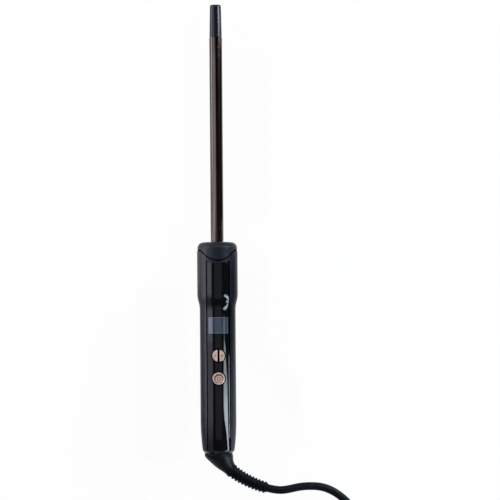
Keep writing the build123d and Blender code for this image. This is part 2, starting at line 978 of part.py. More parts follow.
def ribbed(plane_at, start_r, end_r, valley, count, pitch):
    circles = []
    for index in range(count):
        share = index / (count - 1)
        crest_r = start_r + (end_r - start_r) * share
        flat = pitch * rib_flat_share
        slope = (pitch - 2 * flat) / 2
        base = index * pitch
        for offset, radius in (
            (0, crest_r - valley),
            (slope, crest_r),
            (slope + flat, crest_r),
            (2 * slope + flat, crest_r - valley),
        ):
            circles.append(plane_at(base + offset) * Circle(radius))
    last = plane_at(count * pitch) * Circle(end_r - valley)
    return loft(circles + [last], ruled=True)


def strain_relief():
    sleeve = ribbed(relief_plane, rib_start_r, rib_end_r, rib_valley, rib_count, rib_pitch)
    return sleeve - swept(relief_path(), 2 * sleeve_bore_r)


def cord_inner():
    arc = relief_path()
    way_in = Line(jacket_start(), arc @ 0)
    return swept(Wire([way_in, arc]), cord_d)


def cord_cores():
    top_y = spindle_top_y - slip_ring_lead
    corner = chamber_corner()
    toward = (jacket_start() - corner).normalized()
    end = jacket_start() - toward * core_gap
    cores = []
    for side in (-1, 1):
        rise = Vector(0, 0, side * core_offset)
        points = [Vector(0, top_y, axis_z) + rise, corner + rise, end + rise]
        cores.append(tube(points, core_d)[0])
    return Compound(cores)


# Cord as it lies, its coil and its tail
def run_start():
    return relief_plane(relief_length()).origin


def stepped(start, steps, end_z):
    points = [start]
    for right, forward, share in steps:
        z = start.Z + (end_z - start.Z) * share
        points.append(Vector(start.X + right, start.Y + forward, z))
    return points


def run_points():
    points = stepped(run_start(), run_steps, coil_low_z)
    lead = heading_vector(elbow_heading + relief_turn) * run_lead
    return [points[0], points[0] + lead] + points[1:]


def coil_centre():
    entry = run_points()[-1]
    return Vector(entry.X - coil_outer_r, entry.Y - cord_d, 0)


def coil_place(turn):
    angle = -2 * math.pi * turn
    radius = coil_inner_r + coil_pitch * abs(turn - coil_layer_turns)
    climb = min(max(2 * (turn - coil_layer_turns) + 0.5, 0), 1)
    z = coil_low_z + coil_pitch * climb * climb * (3 - 2 * climb)
    return coil_centre() + Vector(radius * math.cos(angle), radius * math.sin(angle), z)


def coil_heading(turn):
    step = 0.001
    return (coil_place(turn + step) - coil_place(turn - step)).normalized()


def biarc(start, start_heading, end, end_heading):
    chord = end - start
    both = start_heading + end_heading
    squared = both.dot(both) - 4
    linear = chord.dot(both)
    root = math.sqrt(linear * linear - squared * chord.dot(chord))
    arm = (linear - root) / squared
    joint = (start + start_heading * arm + end - end_heading * arm) / 2
    turn_heading = end - end_heading * arm - start - start_heading * arm
    return [
        TangentArc(start, joint, tangent=start_heading),
        TangentArc(joint, end, tangent=turn_heading),
    ]


def coil_path():
    count = 2 * coil_layer_turns * coil_steps
    turns = [index / coil_steps for index in range(count + 1)]
    places = [coil_place(turn) for turn in turns]
    headings = [coil_heading(turn) for turn in turns]
    headings[0] = Vector(0, -1, 0)
    headings[-1] = Vector(0, -1, 0)
    lead = Vector(0, -cord_d, 0)
    edges = [Line(places[0] - lead, places[0])]
    for index in range(count):
        edges += biarc(places[index], headings[index], places[index + 1], headings[index + 1])
    edges.append(Line(places[-1], places[-1] + lead))
    return Wire(edges)


# Least gap between turns, from points along the coil that are not close neighbours
def least_gap(path):
    count = int(path.length / cord_d * 2)
    points = [path.position_at(index / count) for index in range(count + 1)]
    apart = 8
    nearest = min(
        (second - first).length
        for index, first in enumerate(points)
        for second in points[index + apart:]
    )
    return nearest - cord_d


def cord_tie():
    centre = coil_centre()
    inner_r = coil_inner_r + coil_pitch / 2 - cord_d / 2 - tie_gap
    outer_r = coil_outer_r - coil_pitch / 2 + cord_d / 2 + tie_gap
    low = coil_low_z - cord_d / 2 - tie_gap
    high = coil_high_z + cord_d / 2 + tie_gap
    corner_r = cord_d / 2
    wide = outer_r - inner_r
    tall = high - low
    hole = RectangleRounded(wide, tall, corner_r)
    band = RectangleRounded(wide + 2 * tie_thick, tall + 2 * tie_thick, corner_r + tie_thick) - hole
    loop = extrude(Plane.XZ * band, tie_width / 2, both=True)
    return Pos(centre.X - (inner_r + outer_r) / 2, centre.Y, (low + high) / 2) * loop


def coil_exit():
    return coil_place(2 * coil_layer_turns) + Vector(0, -cord_d, 0)


def tail_points():
    return stepped(coil_exit(), tail_steps, plug_axis_z)


# Plug at the end of the tail, pins pointing away from the coil
def plug_plane(distance):
    entry = tail_points()[-1]
    return square_to(entry + Vector(0, -distance, 0), -90)


def plug_relief():
    pitch = plug_relief_length / plug_relief_ribs
    end_r = cord_d / 2 + plug_relief_lip
    sizes = (end_r, plug_relief_d / 2, plug_rib_valley, plug_relief_ribs, pitch)
    return ribbed(plug_plane, *sizes)


def plug_place():
    entry = tail_points()[-1]
    return Pos(entry.X, entry.Y - plug_relief_length, plug_axis_z)


def pin_roots(radius):
    span = (-plug_length, -plug_length + pin_root)
    return [rod(radius, span, side * pin_spacing / 2, 0) for side in (-1, 1)]


def plug_body():
    half_neck = plug_neck_width / 2
    half_wide = plug_width / 2
    shoulder_y = -plug_length + plug_shoulder
    right = [(half_neck, 0), (half_wide, shoulder_y), (half_wide, -plug_length)]
    left = [(-x, y) for x, y in reversed(right)]
    body = extrude(make_face(Polyline(*right, *left, close=True)), plug_thick / 2, both=True)
    body = fillet(body.edges().filter_by(Axis.Z), plug_corner_r)
    faces = body.faces().sort_by(Axis.Z)
    body = fillet(faces[0].edges() + faces[-1].edges(), plug_edge_r)
    for hole in pin_roots(pin_root_d / 2 + pin_fit):
        body = body - hole
    return plug_place() * body


def plug_pins():
    pins = []
    for side, root in zip((-1, 1), pin_roots(pin_root_d / 2)):
        shaft = rod(pin_d / 2, (-plug_length - pin_length, -plug_length), side * pin_spacing / 2, 0)
        end = shaft.edges().filter_by(GeomType.CIRCLE).sort_by(Axis.Y)[0]
        pins.append(plug_place() * (fillet(end, pin_edge_r) + root))
    return Compound(pins)


def cord_node(name, points):
    solid, length = tube(points, cord_d)
    section = math.pi * cord_d**2 / 4
    radii = [round(radius, 1) for radius in bend_radii(points)]
    print(name, "length", round(length, 1), "radii", radii)
    print(name, "volume over section times length", round(solid.volume / (section * length), 4))
    return solid, length


def all_pieces():
    rocker_y = below_nose(rocker_depth)
    power_y = below_nose(power_depth)
    run, run_length = cord_node("cord_run", run_points())
    tail, tail_length = cord_node("cord_tail", tail_points())
    winding = coil_path()
    print("cord_coil length", round(winding.length, 1), "least gap", round(least_gap(winding), 2))
    free_length = run_length + winding.length + tail_length
    print("free cord length", round(free_length, 1))
    return {
        "barrel_tube": barrel_tube(),
        "cool_tip": cool_tip(),
        "heater_plate": heater_plate(),
        "heater_clamps": heater_clamps(),
        "temperature_sensor": temperature_sensor(),
        "heater_leads": heater_leads(),
        "sensor_leads": sensor_leads(),
        "barrel_holder": barrel_holder(),
        "barrel_screws": barrel_screws(),
        "nose_cap": nose_cap(),
        "front_shell": front_shell(),
        "rear_shell": rear_shell(),
        "fascia_panel": fascia_panel(),
        "display_lens": display_lens(),
        "display_module": display_module(),
        "display_stand": display_stand(),
        "control_board": control_board(),
        "board_parts": board_parts(),
        "board_screws": board_screws(),
        "case_screws": case_screws(),
        "tact_switches": tact_switches(),
        "power_button": power_button(),
        "power_plunger": plunger(0, power_y),
        "temp_down_button": temp_button(-1),
        "temp_down_plunger": plunger(-switch_spread, rocker_y),
        "temp_up_button": temp_button(1),
        "temp_up_plunger": plunger(switch_spread, rocker_y),
        "tail_ring": tail_ring(),
        "brush_holder": brush_holder(),
        "contact_brushes": contact_brushes(),
        "supply_leads": supply_leads(),
        "swivel_spindle": swivel_spindle(),
        "swivel_clip": swivel_clip(),
        "slip_rings": slip_rings(),
        "swivel_elbow": swivel_elbow(),
        "strain_relief": strain_relief(),
        "cord_inner": cord_inner(),
        "cord_cores": cord_cores(),
        "cord_run": run,
        "cord_coil": swept(winding, cord_d),
        "cord_tie": cord_tie(),
        "cord_tail": tail,
        "plug_relief": plug_relief(),
        "plug_body": plug_body(),
        "plug_pins": plug_pins(),
    }


os.makedirs("parts", exist_ok=True)
for node, solid in all_pieces().items():
    export_step(solid, f"parts/{node}.step")
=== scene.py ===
import json
import math

import bpy
from mathutils import Matrix, Vector


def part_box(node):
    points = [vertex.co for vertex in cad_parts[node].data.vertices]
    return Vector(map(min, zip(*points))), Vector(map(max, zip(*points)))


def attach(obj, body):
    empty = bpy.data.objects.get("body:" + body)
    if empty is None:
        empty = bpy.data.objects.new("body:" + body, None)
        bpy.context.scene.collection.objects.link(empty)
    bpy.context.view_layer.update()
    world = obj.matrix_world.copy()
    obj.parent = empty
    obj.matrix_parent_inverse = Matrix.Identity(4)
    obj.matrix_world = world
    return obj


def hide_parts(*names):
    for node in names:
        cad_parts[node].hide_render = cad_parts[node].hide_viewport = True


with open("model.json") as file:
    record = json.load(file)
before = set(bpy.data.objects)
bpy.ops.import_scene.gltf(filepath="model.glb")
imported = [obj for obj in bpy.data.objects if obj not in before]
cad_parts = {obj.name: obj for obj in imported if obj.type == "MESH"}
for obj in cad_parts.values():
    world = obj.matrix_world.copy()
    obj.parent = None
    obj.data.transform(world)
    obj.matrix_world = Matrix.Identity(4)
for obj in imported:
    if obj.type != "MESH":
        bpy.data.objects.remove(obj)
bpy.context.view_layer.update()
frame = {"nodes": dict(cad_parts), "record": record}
nodes = frame["nodes"]

# The wand lies on its flat back, tip towards +Y, and the photograph looks straight down on it.
# Metres, in the part's own frame.
AXIS_HEIGHT = 0.0126
BUTTON_TOP = 0.02775
MARK_DEPTH = 0.00025
SEAM_RADIUS = 0.0162
SEAM_TOP = 0.0805
SEAM_LOW = 0.00025
WELL_RADIUS = 0.0136
WELL_ENDS = (-0.034, 0.002)
DISPLAY_CENTRE = (0.0, 0.0183)
DISPLAY_SIZE = (0.0158, 0.0132)
DISPLAY_BORDER = 0.0005

# Colours: one shade, or the two that a pattern runs between
# Painted shade: the black put into deep gaps
PAINTED_GAP_SHADE = (0.0012, 0.0012, 0.0014)
SHELL_GREY = (0.0056, 0.0067, 0.0114)
PLUG_BLACK = (0.0050, 0.0056, 0.0064)
MARK_BROWN = (0.10, 0.045, 0.030)
DISPLAY_EDGE = (0.11, 0.12, 0.14)
GLOSS_BLACKS = ((0.0022, 0.0023, 0.0026), (0.0034, 0.0035, 0.0038))
BARREL_BRONZES = ((0.078, 0.062, 0.056), (0.102, 0.083, 0.075))
ROSE_GOLDS = ((0.70, 0.435, 0.330), (0.86, 0.565, 0.445))
DISPLAY_GREYS = ((0.034, 0.046, 0.061), (0.040, 0.053, 0.070))
STRAP_BLACKS = ((0.035, 0.035, 0.037), (0.014, 0.014, 0.015))

# Moulded pieces: colour, roughness, scale and depth of the grain, how far the colour varies, specular level
FINE_GRAIN = 3800.0
MOULDED = {
    "grey_plastic": (SHELL_GREY, 0.42, FINE_GRAIN, 0.00005, 0.1, 0.26),
    "smooth_plastic": (SHELL_GREY, 0.2, FINE_GRAIN, 0.00002, 0.1, 0.36),
    "ring_plastic": (SHELL_GREY, 0.16, FINE_GRAIN, 0.00002, 0.1, 0.45),
    "plug_plastic": (PLUG_BLACK, 0.42, FINE_GRAIN, 0.00005, 0.1, 0.2),
    "display_module": ((0.45, 0.47, 0.46), 0.5, FINE_GRAIN, 0.00003, 0.1, 0.4),
    "ceramic": ((0.80, 0.78, 0.74), 0.6, 2500.0, 0.00003, 0.04, 0.4),
    "heat_proof": ((0.16, 0.13, 0.10), 0.6, 2200.0, 0.00005, 0.1, 0.4),
    "circuit_board": ((0.03, 0.16, 0.07), 0.4, 1800.0, 0.00004, 0.2, 0.4),
    "electronics": ((0.03, 0.03, 0.033), 0.5, FINE_GRAIN, 0.00004, 0.1, 0.4),
    "spindle_plastic": ((0.012, 0.012, 0.013), 0.45, FINE_GRAIN, 0.00004, 0.1, 0.4),
    "inner_plastic": ((0.55, 0.55, 0.53), 0.45, FINE_GRAIN, 0.00004, 0.05, 0.4),
    "lead_sleeve": ((0.72, 0.71, 0.68), 0.55, 1500.0, 0.00004, 0.05, 0.4),
}

# Plated metals: colour, roughness, and the scale of the turning marks along each axis
PLATED = {
    "pin_metal": ((0.76, 0.74, 0.70), 0.2, (900.0, 4000.0, 900.0)),
    "clamp_metal": ((0.78, 0.78, 0.79), 0.35, (2600.0, 30.0, 2600.0)),
    "steel": ((0.60, 0.61, 0.63), 0.3, (2600.0, 2600.0, 300.0)),
    "contact_brass": ((0.80, 0.60, 0.27), 0.22, (900.0, 3000.0, 900.0)),
}

# Rubbers: colour, roughness, specular level
RUBBERS = {
    "boot_rubber": ((0.0030, 0.0040, 0.0056), 0.40, 0.105),
    "cord_jacket": ((0.0032, 0.0043, 0.0055), 0.38, 0.112),
}

# Photograph: width of its frame at the wand, the point in its middle, and how the camera leans
VIEW_WIDTH = 0.4115
VIEW_CENTRE = Vector((0.0270, 0.0797, AXIS_HEIGHT))
CAMERA_DISTANCE = 2.4
CAMERA_REACH = 20.0
CAMERA_SIDE_TILT = 2.5
CAMERA_ROLL = 0.43
SENSOR_WIDTH = 36.0

# Studio: a white floor, pale walls and a dark ceiling
FLOOR_SIZE = 8.0
FLOOR_GAP = 0.0003
FLOOR_SHADE = 0.85
FLOOR_WHITE = 0.97
WALL_LEAN = (0.3, 0.0, 1.0)
WALL_TOP = 0.2
CEILING_SHADE = (0.03, 0.03, 0.032)

# Tints of the lamps
WHITE = (1.0, 1.0, 1.0)
COOL = (0.88, 1.0, 1.14)
DUSK = (1.0, 1.0, 1.2)
BLUE = (0.76, 1.0, 1.24)

# Softboxes beside the wand: two angles from straight up, two places along the wand, radiance, tint
LAMP_DISTANCE = 0.8
SOFTBOXES = {
    "head_box": ((-79.0, -36.0), (0.09, 0.135), 1.6, DUSK),
    "head_low": ((-90.0, -79.0), (0.015, 0.075), 24.0, DUSK),
    "side_low": ((-90.0, -79.0), (-0.22, 0.0), 8.0, DUSK),
    "fascia_box": ((-79.0, -36.0), (-0.02, 0.07), 0.45, DUSK),
    "left_low": ((-90.0, -79.0), (0.16, 0.75), 5.5, DUSK),
    "barrel_box": ((-50.0, -12.0), (0.105, 0.31), 1.4, WHITE),
    "tip_left": ((-60.0, -36.0), (0.345, 0.42), 1.2, DUSK),
    "top_box": ((-20.0, 22.0), (-0.25, 0.10), 0.2, COOL),
    "saddle_box": ((55.0, 88.0), (-0.80, -0.33), 11.0, BLUE),
    "tip_strip": ((46.0, 80.0), (0.352, 0.42), 19.0, COOL),
    "nose_box": ((42.0, 72.0), (0.44, 0.80), 7.5, BLUE),
    "nose_left": ((-79.0, -45.0), (0.44, 0.80), 3.0, DUSK),
}

# Softboxes past the two ends of the wand: place, radiance
END_BOX_SIZE = (1.0, 0.8)
END_BOXES = {
    "tip_box": ((0.0, 1.3, 1.2), 2.8),
    "tail_box": ((0.0, -1.3, 1.2), 0.5),
}

# Light cards: rows of a place along the wand and two angles from straight up.
# Each card's glow runs from one place and radiance to another.
LEFT_CARD_DISTANCE = 1.0
LEFT_GLOW = ((-0.30, 0.3), (-0.10, 0.92))
LEFT_CARD = (
    (0.70, -79.0, -36.0),
    (-0.12, -79.0, -36.0),
    (-0.60, -84.0, -46.0),
)
UPPER_GLOW = ((-0.062, 5.0), (0.008, 5.0))
UPPER_CARD = (
    (0.008, 38.6, 39.4),
    (-0.016, 38.3, 40.0),
    (-0.021, 38.0, 44.0),
    (-0.030, 37.5, 51.0),
    (-0.052, 35.0, 55.5),
    (-0.062, 34.5, 58.0),
)
LOWER_GLOW = ((-0.090, 9.0), (-0.062, 5.0))
LOWER_CARD = (
    (-0.062, 34.5, 58.0),
    (-0.090, 33.0, 61.0),
    (-0.101, 37.0, 62.5),
    (-0.142, 44.0, 62.5),
    (-0.213, 55.0, 67.0),
    (-0.262, 62.0, 73.0),
    (-0.310, 69.0, 79.0),
)
EDGE_GLOW = ((-0.090, 10.0), (-0.045, 4.0))
EDGE_CARD = (
    (-0.035, 69.5, 76.0),
    (-0.062, 69.5, 76.0),
    (-0.101, 70.0, 77.0),
    (-0.142, 71.5, 79.0),
    (-0.213, 74.5, 82.0),
)

# Black flags standing beside the wand: rows of a place across, a place along and a height
FLAG_SHADE = 0.004
FLAG_FOOT = 0.001
FLAGS = {
    "right_flag": (
        (0.075, -0.085, 0.030),
        (0.070, -0.030, 0.035),
        (0.045, 0.000, 0.039),
        (0.045, 0.077, 0.039),
    ),
    "barrel_flag": (
        (0.045, 0.105, 0.030),
        (0.045, 0.250, 0.030),
    ),
    "left_flag": (
        (-0.070, 0.030, 0.014),
        (-0.070, -0.020, 0.018),
        (-0.070, -0.070, 0.024),
        (-0.060, -0.120, 0.030),
        (-0.020, -0.170, 0.030),
    ),
}

# A pale mat laid beside the wand: rows of a place along and two edges
MAT_SHADE = 0.85
MAT_HEIGHT = 0.0006
LEFT_MAT = (
    (0.050, -0.068, -0.026),
    (-0.095, -0.068, -0.026),
)

# Cord: the route's points, then the put-away coil
CORD_DIAMETER = 0.0066
RUN_POINTS = (
    (0.03951, -0.11619, 0.0126),
    (0.04530, -0.11780, 0.0126),
    (0.05400, -0.11840, 0.0120),
    (0.07050, -0.11480, 0.0095),
    (0.09050, -0.11650, 0.0064),
    (0.10950, -0.13100, 0.0047),
    (0.12211, -0.15509, 0.0047),
    (0.12211, -0.18109, 0.0047),
)
TAIL_POINTS = (
    (0.12211, -0.19429, 0.0118),
    (0.12211, -0.20829, 0.0118),
    (0.12511, -0.22429, 0.0069),
    (0.12511, -0.23829, 0.0069),
)
COIL_CENTRE = Vector((0.07186, -0.18769, 0.0))
COIL_INNER_RADIUS = 0.02895
COIL_PITCH = 0.0071
COIL_LAYER_TURNS = 3
COIL_LOW = 0.0047
COIL_POINTS_PER_TURN = 16

# Strap round the coil, and its free end
STRAP_THICKNESS = 0.0008
STRAP_CORNER = 0.0041
STRAP_EDGE = 0.0002
STRAP_END_LENGTH = 0.011
STRAP_END_SHIFT = 0.003
STRAP_END_INSET = 0.0004
STRAP_END_CORNER = 0.0022


def deselect():
    if bpy.context.object and bpy.context.object.mode != "OBJECT":
        bpy.ops.object.mode_set(mode="OBJECT")
    bpy.ops.object.select_all(action="DESELECT")


# Material building

def math_node(tree, operation, *values):
    node = tree.nodes.new("ShaderNodeMath")
    node.operation = operation
    for value, socket in zip(values, node.inputs):
        if isinstance(value, (int, float)):
            socket.default_value = value
        else:
            tree.links.new(value, socket)
    return node.outputs["Value"]


class Finish:
    def __init__(self, name, **sockets):
        self.material = bpy.data.materials.new(name)
        self.material.use_nodes = True
        self.tree = self.material.node_tree
        self.shader = self.tree.nodes["Principled BSDF"]
        for socket, value in sockets.items():
            self.shader.inputs[socket.replace("_", " ")].default_value = value
        self.place = self.tree.nodes.new("ShaderNodeTexCoord")

    def link(self, output, target):
        self.tree.links.new(output, target)

    def mapped(self, scale):
        mapping = self.tree.nodes.new("ShaderNodeMapping")
        mapping.inputs["Scale"].default_value = scale
        self.link(self.place.outputs["Object"], mapping.inputs["Vector"])
        return mapping.outputs["Vector"]

    def noise(self, scale, detail=3.0, stretch=(1.0, 1.0, 1.0)):
        node = self.tree.nodes.new("ShaderNodeTexNoise")
        node.inputs["Scale"].default_value = scale
        node.inputs["Detail"].default_value = detail
        self.link(self.mapped(stretch), node.inputs["Vector"])
        return node.outputs["Fac"]

    def shades(self, fac, low, high, start=0.3, end=0.7):
        ramp = self.tree.nodes.new("ShaderNodeValToRGB")
        ramp.color_ramp.elements[0].position = start
        ramp.color_ramp.elements[0].color = (*low, 1.0)
        ramp.color_ramp.elements[1].position = end
        ramp.color_ramp.elements[1].color = (*high, 1.0)
        self.link(fac, ramp.inputs["Fac"])
        return ramp.outputs["Color"]

    def spread(self, fac, low, high):
        node = self.tree.nodes.new("ShaderNodeMapRange")
        node.inputs["From Min"].default_value = 0.3
        node.inputs["From Max"].default_value = 0.7
        node.inputs["To Min"].default_value = low
        node.inputs["To Max"].default_value = high
        self.link(fac, node.inputs["Value"])
        return node.outputs["Result"]

    def math(self, operation, *values):
        return math_node(self.tree, operation, *values)

    def axes(self, output):
        node = self.tree.nodes.new("ShaderNodeSeparateXYZ")
        self.link(self.place.outputs[output], node.inputs["Vector"])
        return node.outputs["X"], node.outputs["Y"], node.outputs["Z"]

    def blend(self, fac, first, second):
        node = self.tree.nodes.new("ShaderNodeMix")
        node.data_type = "RGBA"
        self.link(fac, node.inputs["Factor"])
        for value, name in ((first, "A"), (second, "B")):
            socket = [s for s in node.inputs if s.name == name and s.type == "RGBA"][0]
            if isinstance(value, tuple):
                socket.default_value = (*value, 1.0)
            else:
                self.link(value, socket)
        return [s for s in node.outputs if s.type == "RGBA"][0]

    def colour(self, output):
        self.link(output, self.shader.inputs["Base Color"])

    def roughness(self, output):
        self.link(output, self.shader.inputs["Roughness"])

    def bump(self, height, strength, depth):
        node = self.tree.nodes.new("ShaderNodeBump")
        node.inputs["Strength"].default_value = strength
        node.inputs["Distance"].default_value = depth
        self.link(height, node.inputs["Height"])
        self.link(node.outputs["Normal"], self.shader.inputs["Normal"])


def tinted(colour, share):
    return tuple(channel * share for channel in colour)


def moulded_plastic(name, colour, roughness, grain, depth, variation, specular, shaded=None):
    finish = Finish(name, Specular_IOR_Level=specular)
    patches = finish.noise(scale=90.0, detail=4.0)
    tone = finish.shades(patches, tinted(colour, 1 - variation), tinted(colour, 1 + variation))
    # Where the mask is set, painted shade: a black colour, and metal with a black reflection tint, so that
    # spot gives back almost no light
    if shaded:
        mask = shaded(finish)
        tone = finish.blend(mask, tone, PAINTED_GAP_SHADE)
        finish.link(mask, finish.shader.inputs["Metallic"])
        finish.link(finish.blend(mask, WHITE, PAINTED_GAP_SHADE), finish.shader.inputs["Specular Tint"])
    finish.colour(tone)
    fine = finish.noise(scale=grain, detail=2.0)
    finish.roughness(finish.spread(fine, roughness - 0.06, roughness + 0.06))
    finish.bump(fine, strength=0.35, depth=depth)
    return finish.material


def nearer_axis(finish, across, height, radius):
    rise = finish.math("SUBTRACT", height, AXIS_HEIGHT)
    square = finish.math("ADD", finish.math("MULTIPLY", across, across), finish.math("MULTIPLY", rise, rise))
    return finish.math("LESS_THAN", square, radius**2)


# Painted shade: the nose cap's tongue, down in the wavy seam, is painted black, with its reflections tinted
# black
def painted_seam_shade(finish):
    across, along, height = finish.axes("Object")
    sunk = nearer_axis(finish, across, height, SEAM_RADIUS)
    low = finish.math("LESS_THAN", along, SEAM_TOP)
    off_back = finish.math("GREATER_THAN", height, SEAM_LOW)
    return finish.math("MULTIPLY", finish.math("MULTIPLY", sunk, low), off_back)


# Painted shade: the front shell's walls down in the gaps round the buttons are painted black, with their
# reflections tinted black
def painted_well_shade(finish):
    across, along, height = finish.axes("Object")
    sunk = nearer_axis(finish, across, height, WELL_RADIUS)
    above = finish.math("GREATER_THAN", along, WELL_ENDS[0])
    below = finish.math("LESS_THAN", along, WELL_ENDS[1])
    return finish.math("MULTIPLY", finish.math("MULTIPLY", sunk, above), below)


def piano_gloss():
    finish = Finish("fascia_gloss", Specular_IOR_Level=0.55)
    haze = finish.noise(scale=60.0, detail=5.0)
    finish.colour(finish.shades(haze, *GLOSS_BLACKS))
    finish.roughness(finish.spread(haze, 0.025, 0.06))
    ripple = finish.noise(scale=220.0, detail=1.0)
    finish.bump(ripple, strength=0.03, depth=0.00005)
    return finish.material


def barrel_coat():
    finish = Finish("barrel_coat", Metallic=1.0)
    streaks = finish.noise(scale=1.0, stretch=(2600.0, 18.0, 2600.0))
    cloud = finish.noise(scale=35.0, detail=4.0)
    tone = finish.math("ADD", finish.math("MULTIPLY", streaks, 0.4), finish.math("MULTIPLY", cloud, 0.6))
    finish.colour(finish.shades(tone, *BARREL_BRONZES))
    finish.roughness(finish.spread(streaks, 0.12, 0.17))
    finish.bump(streaks, strength=0.06, depth=0.00002)
    return finish.material


# Rose-gold buttons, with dark signs sunk in their tops
def rose_metal():
    finish = Finish("rose_metal", Metallic=0.45, Specular_IOR_Level=0.6)
    blast = finish.noise(scale=2400.0, detail=2.0)
    cloud = finish.noise(scale=900.0)
    metal = finish.shades(cloud, *ROSE_GOLDS)
    height = finish.axes("Object")[2]
    facing = finish.axes("Normal")[2]
    sunk = finish.math("LESS_THAN", height, BUTTON_TOP - MARK_DEPTH / 2)
    level = finish.math("GREATER_THAN", facing, 0.95)
    mark = finish.math("MULTIPLY", sunk, level)
    finish.colour(finish.blend(mark, metal, MARK_BROWN))
    finish.roughness(finish.spread(blast, 0.24, 0.34))
    finish.bump(blast, strength=0.12, depth=0.00002)
    return finish.material


# Grey display under clear plastic, with a paler line round its edge
def display_window():
    finish = Finish("display_grey", Specular_IOR_Level=0.9, Coat_Weight=1.0, Coat_Roughness=0.03)
    across, along, _ = finish.axes("Object")
    side = finish.math("ABSOLUTE", finish.math("SUBTRACT", across, DISPLAY_CENTRE[0]))
    end = finish.math("ABSOLUTE", finish.math("SUBTRACT", along, DISPLAY_CENTRE[1]))
    near_side = finish.math("GREATER_THAN", side, DISPLAY_SIZE[0] / 2 - DISPLAY_BORDER)
    near_end = finish.math("GREATER_THAN", end, DISPLAY_SIZE[1] / 2 - DISPLAY_BORDER)
    border = finish.math("MAXIMUM", near_side, near_end)
    cells = finish.noise(scale=700.0, detail=2.0)
    face = finish.shades(cells, *DISPLAY_GREYS)
    finish.colour(finish.blend(border, face, DISPLAY_EDGE))
    haze = finish.noise(scale=60.0, detail=4.0)
    finish.roughness(finish.spread(haze, 0.04, 0.08))
    return finish.material


def plated_metal(name, colour, roughness, lines):
    finish = Finish(name, Metallic=1.0)
    turning = finish.noise(scale=1.0, stretch=lines)
    finish.colour(finish.shades(turning, tinted(colour, 0.9), colour))
    finish.roughness(finish.spread(turning, roughness - 0.05, roughness + 0.07))
    finish.bump(turning, strength=0.08, depth=0.00002)
    return finish.material


def soft_rubber(name, colour, roughness, specular):
    finish = Finish(name, Specular_IOR_Level=specular)
    bloom = finish.noise(scale=140.0, detail=5.0)
    finish.colour(finish.shades(bloom, tinted(colour, 0.85), tinted(colour, 1.2)))
    skin = finish.noise(scale=2600.0)
    finish.roughness(finish.spread(bloom, roughness - 0.07, roughness + 0.06))
    finish.bump(skin, strength=0.08, depth=0.00004)
    return finish.material


# Hook-and-loop strap: rows of tiny loops
def strap_fabric():
    finish = Finish("tie_plastic", Specular_IOR_Level=0.2, Sheen_Weight=0.2, Sheen_Roughness=0.5)
    loops = finish.tree.nodes.new("ShaderNodeTexVoronoi")
    loops.inputs["Scale"].default_value = 1700.0
    finish.link(finish.place.outputs["Object"], loops.inputs["Vector"])
    distance = loops.outputs["Distance"]
    finish.colour(finish.shades(distance, *STRAP_BLACKS, start=0.1))
    finish.roughness(finish.spread(distance, 0.75, 0.95))
    finish.bump(distance, strength=0.6, depth=0.0002)
    return finish.material


def make_finishes():
    finishes = {
        "barrel_coat": barrel_coat(),
        "fascia_gloss": piano_gloss(),
        "display_grey": display_window(),
        "rose_metal": rose_metal(),
        "tie_plastic": strap_fabric(),
    }
    for build, table in ((moulded_plastic, MOULDED), (plated_metal, PLATED), (soft_rubber, RUBBERS)):
        for name, values in table.items():
            finishes[name] = build(name, *values)
    return finishes


def dress_nodes(finishes):
    shell = MOULDED["grey_plastic"]
    own = {
        "cool_tip": finishes["smooth_plastic"],
        "tail_ring": finishes["ring_plastic"],
        "nose_cap": moulded_plastic("nose_plastic", *shell, shaded=painted_seam_shade),
        "front_shell": moulded_plastic("front_plastic", *shell, shaded=painted_well_shade),
    }
    for part in frame["record"]["subparts"]:
        node = nodes[part["node"]]
        node.data.materials.clear()
        node.data.materials.append(own.get(part["node"], finishes[part["material_slot"]]))


# Cord and its strap

def coil_point(turn):
    # a smooth line runs inside its points, so they stand a little further out
    step = math.pi / COIL_POINTS_PER_TURN
    shrink = (math.cos(step) + (6 + 2 * math.cos(2 * step)) / 8) / 2
    radius = (COIL_INNER_RADIUS + COIL_PITCH * abs(turn - COIL_LAYER_TURNS)) / shrink
    angle = -2 * math.pi * turn
    climb = min(max(2 * (turn - COIL_LAYER_TURNS) + 0.5, 0), 1)
    height = COIL_LOW + COIL_PITCH * climb * climb * (3 - 2 * climb)
    return COIL_CENTRE + Vector((radius * math.cos(angle), radius * math.sin(angle), height))


def cord_points():
    count = 2 * COIL_LAYER_TURNS * COIL_POINTS_PER_TURN
    coil = [coil_point(index / COIL_POINTS_PER_TURN) for index in range(count + 1)]
    return list(RUN_POINTS) + coil + list(TAIL_POINTS)


def power_cord(material):
    curve = bpy.data.curves.new("power_cord", "CURVE")
    curve.dimensions = "3D"
    curve.bevel_depth = CORD_DIAMETER / 2
    curve.bevel_resolution = 6
    curve.use_fill_caps = True
    curve.resolution_u = 6
    points = cord_points()
    spline = curve.splines.new("NURBS")
    spline.points.add(len(points) - 1)
    for point, place in zip(spline.points, points):
        point.co = (*place, 1.0)
    spline.order_u = 3
    spline.use_endpoint_u = True
    spline.use_smooth = True
    cord = bpy.data.objects.new("power_cord", curve)
    bpy.context.scene.collection.objects.link(cord)
    curve.materials.append(material)
    return cord


def select_faces(mesh, wanted):
    for face in mesh.polygons:
        face.select = wanted(face)
    for edge in mesh.edges:
        edge.select = False
    for vertex in mesh.vertices:
        vertex.select = False


def select_edges(mesh, wanted):
    for item in list(mesh.polygons) + list(mesh.vertices):
        item.select = False
    for edge in mesh.edges:
        start, end = [mesh.vertices[index].co for index in edge.vertices]
        edge.select = wanted(end - start)


def edit(mode):
    bpy.ops.object.mode_set(mode="EDIT")
    bpy.ops.mesh.select_mode(type=mode)


def round_edges(piece, wanted, radius, segments):
    select_edges(piece.data, wanted)
    edit("EDGE")
    bpy.ops.mesh.bevel(offset=radius, segments=segments, affect="EDGES")
    bpy.ops.object.mode_set(mode="OBJECT")


